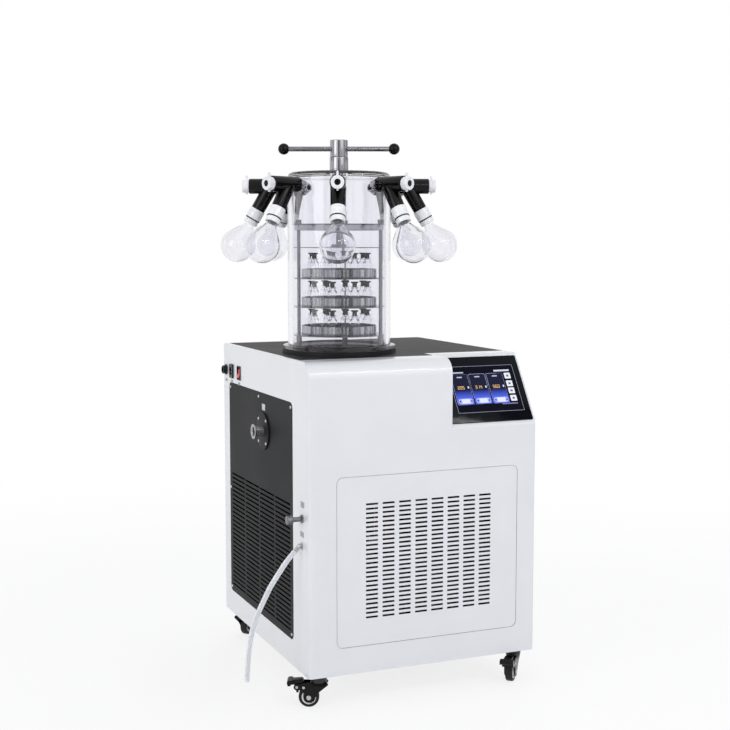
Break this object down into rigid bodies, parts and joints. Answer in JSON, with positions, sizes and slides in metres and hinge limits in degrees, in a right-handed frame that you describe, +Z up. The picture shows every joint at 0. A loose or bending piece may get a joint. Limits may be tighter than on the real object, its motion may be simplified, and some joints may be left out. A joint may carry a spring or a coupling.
{
  "type": "freeze dryer",
  "caption": "Floor-standing laboratory freeze dryer: clear stoppering chamber with a rack of vial trays, a ring of flask valves, a touch screen console and a cold trap in a cabinet on casters.",
  "frame": {"origin": "on the floor under the middle of the whole machine, flasks and pedals included and the drain hose left out", "axes": "+X to the right seen from the front, +Y to the back, +Z up"},
  "size_m": [0.7835, 0.7469, 1.4313],
  "materials": {
    "white_enamel": "smooth light grey-white powder coat",
    "black_enamel": "fine-textured black powder coat",
    "black_steel": "black paint",
    "galvanised_steel": "plain zinc-coated sheet",
    "satin_steel": "brushed stainless steel",
    "bright_steel": "bright plated",
    "fin_aluminium": "fin stock",
    "black_glass": "black glass front with a printed border",
    "black_plastic": "moulded black",
    "black_knob": "polished phenolic",
    "red_plastic": "moulded red",
    "white_plastic": "moulded white",
    "clear_tube": "clear silicone tube",
    "clear_acrylic": "polished clear acrylic",
    "clear_glass": "clear borosilicate glass",
    "black_rubber": "moulded black rubber",
    "grey_stopper": "dark grey stopper rubber",
    "black_nylon": "moulded black nylon",
    "black_tyre": "hard black tread on a pale core"
  },
  "bodies": {
    "root": {"cabinet_shell": "white_enamel", "base_pan": "galvanised_steel", "rear_panel": "galvanised_steel", "top_plate": "black_enamel", "service_panel": "white_enamel", "side_panel": "black_enamel", "panel_screws": "bright_steel", "touch_screen": "black_glass", "side_sockets": "black_plastic", "vacuum_port": "satin_steel", "air_valve_body": "bright_steel", "drain_fitting": "bright_steel", "drain_hose": "clear_tube", "caster_plates": "black_steel", "cold_trap": "satin_steel", "compressor": "black_steel", "condenser": "fin_aluminium", "chamber_gasket": "black_rubber", "chamber_bell": "clear_acrylic", "lid_boss": "satin_steel", "shelf_lower": "satin_steel", "rack_frame": "satin_steel", "port_valves": "black_rubber", "flask_collars": "white_plastic", "flasks": "clear_glass", "tray_lower": "satin_steel", "vials_lower": "clear_glass"},
    "handle": {"press_handle": "satin_steel", "handle_balls": "black_knob"},
    "press": {"press_plate": "satin_steel"},
    "upper_row": {"shelf_upper": "satin_steel", "tray_upper": "satin_steel", "vials_upper": "clear_glass"},
    "middle_row": {"shelf_middle": "satin_steel", "tray_middle": "satin_steel", "vials_middle": "clear_glass"},
    "upper_stoppers": {"stoppers_upper": "grey_stopper"},
    "middle_stoppers": {"stoppers_middle": "grey_stopper"},
    "lower_stoppers": {"stoppers_lower": "grey_stopper"},
    "rocker": {"power_rocker": "red_plastic"},
    "air_knob": {"air_valve_knob": "bright_steel"},
    "fan": {"condenser_fan": "black_plastic"},
    "knob_1": {"valve_knob_1": "white_plastic"},
    "knob_2": {"valve_knob_2": "white_plastic"},
    "knob_3": {"valve_knob_3": "white_plastic"},
    "knob_4": {"valve_knob_4": "white_plastic"},
    "knob_5": {"valve_knob_5": "white_plastic"},
    "knob_6": {"valve_knob_6": "white_plastic"},
    "knob_7": {"valve_knob_7": "white_plastic"},
    "knob_8": {"valve_knob_8": "white_plastic"},
    "fork_fl": {"caster_fork_fl": "black_nylon"},
    "wheel_fl": {"caster_wheel_fl": "black_tyre"},
    "fork_fr": {"caster_fork_fr": "black_nylon"},
    "wheel_fr": {"caster_wheel_fr": "black_tyre"},
    "fork_rl": {"caster_fork_rl": "black_nylon"},
    "wheel_rl": {"caster_wheel_rl": "black_tyre"},
    "fork_rr": {"caster_fork_rr": "black_nylon"},
    "wheel_rr": {"caster_wheel_rr": "black_tyre"},
    "pedal_fl": {"brake_pedal_fl": "black_nylon"},
    "pedal_fr": {"brake_pedal_fr": "black_nylon"}
  },
  "joints": [
    {"name": "handle_turn", "type": "hinge", "parent": "root", "child": "handle", "pos_m": [-0.07028, -0.04175, 1.408], "axis": [0, 0, -1], "range_deg": [0, 939]},
    {"name": "press_slide", "type": "slide", "parent": "root", "child": "press", "axis": [0, 0, -1], "range_m": [0, 0.0522]},
    {"name": "upper_row_slide", "type": "slide", "parent": "root", "child": "upper_row", "axis": [0, 0, -1], "range_m": [0, 0.0308]},
    {"name": "middle_row_slide", "type": "slide", "parent": "root", "child": "middle_row", "axis": [0, 0, -1], "range_m": [0, 0.0154]},
    {"name": "upper_stopper_slide", "type": "slide", "parent": "upper_row", "child": "upper_stoppers", "axis": [0, 0, -1], "range_m": [0, 0.0088]},
    {"name": "middle_stopper_slide", "type": "slide", "parent": "middle_row", "child": "middle_stoppers", "axis": [0, 0, -1], "range_m": [0, 0.0088]},
    {"name": "lower_stopper_slide", "type": "slide", "parent": "root", "child": "lower_stoppers", "axis": [0, 0, -1], "range_m": [0, 0.0088]},
    {"name": "knob_1_turn", "type": "hinge", "parent": "root", "child": "knob_1", "pos_m": [0.1376, 0.04435, 1.31], "axis": [0.9239, 0.3827, 0], "range_deg": [0, 180]},
    {"name": "knob_2_turn", "type": "hinge", "parent": "root", "child": "knob_2", "pos_m": [0.01583, 0.16612, 1.31], "axis": [0.3827, 0.9239, 0], "range_deg": [0, 180]},
    {"name": "knob_3_turn", "type": "hinge", "parent": "root", "child": "knob_3", "pos_m": [-0.15638, 0.16612, 1.31], "axis": [-0.3827, 0.9239, 0], "range_deg": [0, 180]},
    {"name": "knob_4_turn", "type": "hinge", "parent": "root", "child": "knob_4", "pos_m": [-0.27815, 0.04435, 1.31], "axis": [-0.9239, 0.3827, 0], "range_deg": [0, 180]},
    {"name": "knob_5_turn", "type": "hinge", "parent": "root", "child": "knob_5", "pos_m": [-0.27815, -0.12786, 1.31], "axis": [-0.9239, -0.3827, 0], "range_deg": [0, 180]},
    {"name": "knob_6_turn", "type": "hinge", "parent": "root", "child": "knob_6", "pos_m": [-0.15638, -0.24963, 1.31], "axis": [-0.3827, -0.9239, 0], "range_deg": [0, 180]},
    {"name": "knob_7_turn", "type": "hinge", "parent": "root", "child": "knob_7", "pos_m": [0.01583, -0.24963, 1.31], "axis": [0.3827, -0.9239, 0], "range_deg": [0, 180]},
    {"name": "knob_8_turn", "type": "hinge", "parent": "root", "child": "knob_8", "pos_m": [0.1376, -0.12786, 1.31], "axis": [0.9239, -0.3827, 0], "range_deg": [0, 180]},
    {"name": "rocker_tip", "type": "hinge", "parent": "root", "child": "rocker", "pos_m": [-0.26628, 0.22025, 0.795], "axis": [0, 1, 0], "range_deg": [-20, 0]},
    {"name": "air_knob_turn", "type": "hinge", "parent": "root", "child": "air_knob", "pos_m": [-0.30028, -0.29475, 0.48], "axis": [-1, 0, 0], "range_deg": [0, 720]},
    {"name": "fan_spin", "type": "hinge", "parent": "root", "child": "fan", "pos_m": [0.05622, -0.26675, 0.253], "axis": [0, 1, 0], "continuous": true},
    {"name": "swivel_fl", "type": "hinge", "parent": "root", "child": "fork_fl", "pos_m": [-0.23028, -0.30175, 0.06], "axis": [0, 0, 1], "continuous": true},
    {"name": "wheel_spin_fl", "type": "hinge", "parent": "fork_fl", "child": "wheel_fl", "pos_m": [-0.25329, -0.29198, 0.026], "axis": [0.3907, 0.9205, 0], "continuous": true},
    {"name": "swivel_fr", "type": "hinge", "parent": "root", "child": "fork_fr", "pos_m": [0.32472, -0.30175, 0.06], "axis": [0, 0, 1], "continuous": true},
    {"name": "wheel_spin_fr", "type": "hinge", "parent": "fork_fr", "child": "wheel_fr", "pos_m": [0.308, -0.32033, 0.026], "axis": [-0.7431, 0.6691, 0], "continuous": true},
    {"name": "swivel_rl", "type": "hinge", "parent": "root", "child": "fork_rl", "pos_m": [-0.23028, 0.33325, 0.06], "axis": [0, 0, 1], "continuous": true},
    {"name": "wheel_spin_rl", "type": "hinge", "parent": "fork_rl", "child": "wheel_rl", "pos_m": [-0.21113, 0.34932, 0.026], "axis": [0.6428, -0.766, 0], "continuous": true},
    {"name": "swivel_rr", "type": "hinge", "parent": "root", "child": "fork_rr", "pos_m": [0.32472, 0.33325, 0.06], "axis": [0, 0, 1], "continuous": true},
    {"name": "wheel_spin_rr", "type": "hinge", "parent": "fork_rr", "child": "wheel_rr", "pos_m": [0.31222, 0.3116, 0.026], "axis": [-0.866, 0.5, 0], "continuous": true},
    {"name": "pedal_tip_fl", "type": "hinge", "parent": "fork_fl", "child": "pedal_fl", "pos_m": [-0.2809, -0.28026, 0.053], "axis": [-0.3907, -0.9205, 0], "range_deg": [0, 14]},
    {"name": "pedal_tip_fr", "type": "hinge", "parent": "fork_fr", "child": "pedal_fr", "pos_m": [0.28792, -0.34263, 0.053], "axis": [0.7431, -0.6691, 0], "range_deg": [0, 14]}
  ],
  "couplings": [
    {"joint": "press_slide", "follows": "handle_turn", "m_per_rad": 0.0031831},
    {"joint": "upper_row_slide", "follows": "handle_turn", "m_per_rad": 0.0018782},
    {"joint": "middle_row_slide", "follows": "handle_turn", "m_per_rad": 0.00093908},
    {"joint": "upper_stopper_slide", "follows": "handle_turn", "m_per_rad": 0.00053661},
    {"joint": "middle_stopper_slide", "follows": "handle_turn", "m_per_rad": 0.00053661},
    {"joint": "lower_stopper_slide", "follows": "handle_turn", "m_per_rad": 0.00053661}
  ]
}
